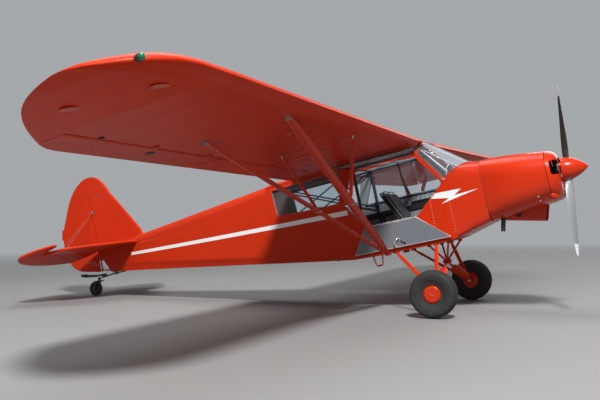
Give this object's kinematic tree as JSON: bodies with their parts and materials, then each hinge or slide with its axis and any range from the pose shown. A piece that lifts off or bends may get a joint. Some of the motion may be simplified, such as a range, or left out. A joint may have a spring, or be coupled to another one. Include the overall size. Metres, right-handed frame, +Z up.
{
  "type": "light aircraft",
  "caption": "High-wing light aircraft on a tailwheel undercarriage: tandem cabin with open side doors, strut-braced wing with flaps and ailerons, engine cowling and propeller.",
  "frame": {"origin": "on the floor that the aircraft stands on, under the centre of its bounding box", "axes": "+X towards the nose along the fuselage as parked, +Y to port along the span, +Z up. The airframe sits nose up by 11.2 degrees on its three wheels."},
  "size_m": [7.083, 10.8552, 2.4499],
  "materials": {
    "red_fabric": "doped and painted fabric, gloss",
    "red_metal": "gloss",
    "clear_glazing": "clear, polished",
    "black_paint": "satin",
    "seat_fabric": "woven cloth with light piping",
    "tyre_rubber": "matte, worn",
    "bare_steel": "weathered",
    "blade_paint": "satin front face, matte black rear face, white tips"
  },
  "bodies": {
    "airframe": {"wing_left": "red_fabric", "wing_right": "red_fabric", "cabin_side_left": "red_fabric", "cabin_side_right": "red_fabric", "cabin_floor": "red_fabric", "cabin_roof": "red_fabric", "skylight": "clear_glazing", "rear_fuselage": "red_fabric", "boot_cowl": "red_metal", "windscreen": "clear_glazing", "rear_window_left": "clear_glazing", "rear_window_right": "clear_glazing", "front_window_left": "clear_glazing", "engine_cowl": "red_metal", "nose_bowl": "red_metal", "engine_block": "bare_steel", "exhaust_stack": "bare_steel", "instrument_panel": "black_paint", "front_seat": "seat_fabric", "rear_seat": "seat_fabric", "control_sticks": "black_paint", "cabin_frame": "black_paint", "lift_struts_left": "red_metal", "jury_struts_left": "red_metal", "lift_struts_right": "red_metal", "jury_struts_right": "red_metal", "gear_leg_left": "red_metal", "gear_leg_right": "red_metal", "cabane": "red_metal", "shock_strut_left": "red_fabric", "shock_strut_right": "red_fabric", "fin": "red_fabric", "stabilizer_left": "red_fabric", "stabilizer_right": "red_fabric", "upper_stays_left": "bare_steel", "lower_stays_left": "bare_steel", "upper_stays_right": "bare_steel", "lower_stays_right": "bare_steel", "tail_spring": "black_paint", "tow_release": "black_paint", "boarding_step": "red_metal"},
    "propeller": {"propeller": "blade_paint", "spinner": "red_metal"},
    "wheel_left": {"tyre_left": "tyre_rubber", "wheel_left": "red_metal"},
    "wheel_right": {"tyre_right": "tyre_rubber", "wheel_right": "red_metal"},
    "tail_steering": {"tailwheel_fork": "black_paint"},
    "tail_wheel": {"tail_wheel": "tyre_rubber"},
    "rudder": {"rudder": "red_fabric"},
    "elevators": {"elevators": "red_fabric"},
    "aileron_left": {"aileron_left": "red_fabric"},
    "aileron_right": {"aileron_right": "red_fabric"},
    "flap_left": {"flap_left": "red_fabric"},
    "flap_right": {"flap_right": "red_fabric"},
    "lower_door": {"lower_door": "red_metal"},
    "upper_door": {"upper_door": "black_paint"}
  },
  "joints": [
    {"name": "propeller_spin", "type": "hinge", "parent": "airframe", "child": "propeller", "pos_m": [3.32788, 0, 1.52739], "axis": [0.9938, 0, 0.1115], "continuous": true},
    {"name": "wheel_left_roll", "type": "hinge", "parent": "airframe", "child": "wheel_left", "pos_m": [2.08774, 0.913, 0.24815], "axis": [0, 1, 0], "continuous": true},
    {"name": "wheel_right_roll", "type": "hinge", "parent": "airframe", "child": "wheel_right", "pos_m": [2.08774, -0.913, 0.24815], "axis": [0, 1, 0], "continuous": true},
    {"name": "tail_steer", "type": "hinge", "parent": "airframe", "child": "tail_steering", "pos_m": [-2.9092, 0, 0.20577], "axis": [0, 0, 1], "range_deg": [-30, 30]},
    {"name": "tail_wheel_roll", "type": "hinge", "parent": "tail_steering", "child": "tail_wheel", "pos_m": [-2.96961, 0, 0.099], "axis": [0, 1, 0], "continuous": true},
    {"name": "rudder_turn", "type": "hinge", "parent": "airframe", "child": "rudder", "pos_m": [-2.89419, 0, 0.36165], "axis": [-0.1942, 0, 0.981], "range_deg": [-25, 25]},
    {"name": "elevator_turn", "type": "hinge", "parent": "airframe", "child": "elevators", "pos_m": [-2.88328, 0, 0.6309], "axis": [0, 1, 0], "range_deg": [-1, 39]},
    {"name": "aileron_left_turn", "type": "hinge", "parent": "airframe", "child": "aileron_left", "pos_m": [0.5383, 2.60875, 1.63278], "axis": [-0.0041, 0.9998, 0.0193], "range_deg": [-18, 18]},
    {"name": "aileron_right_turn", "type": "hinge", "parent": "airframe", "child": "aileron_right", "pos_m": [0.5383, -2.60875, 1.63278], "axis": [0.0041, 0.9998, -0.0193], "range_deg": [-18, 18]},
    {"name": "flap_left_turn", "type": "hinge", "parent": "airframe", "child": "flap_left", "pos_m": [0.54643, 0.61414, 1.59429], "axis": [-0.0041, 0.9998, 0.0193], "range_deg": [-50, 0]},
    {"name": "flap_right_turn", "type": "hinge", "parent": "airframe", "child": "flap_right", "pos_m": [0.54643, -0.61414, 1.59429], "axis": [0.0041, 0.9998, -0.0193], "range_deg": [-50, 0]},
    {"name": "lower_door_swing", "type": "hinge", "parent": "airframe", "child": "lower_door", "pos_m": [1.96304, -0.376, 1.08385], "axis": [0.981, 0, 0.1942], "range_deg": [-180, 0]},
    {"name": "upper_door_swing", "type": "hinge", "parent": "airframe", "child": "upper_door", "pos_m": [1.82572, -0.376, 1.77738], "axis": [0.981, 0, 0.1942], "range_deg": [0, 90]}
  ],
  "couplings": [
    {"joint": "aileron_right_turn", "follows": "aileron_left_turn", "ratio": -1},
    {"joint": "flap_right_turn", "follows": "flap_left_turn", "ratio": 1}
  ]
}
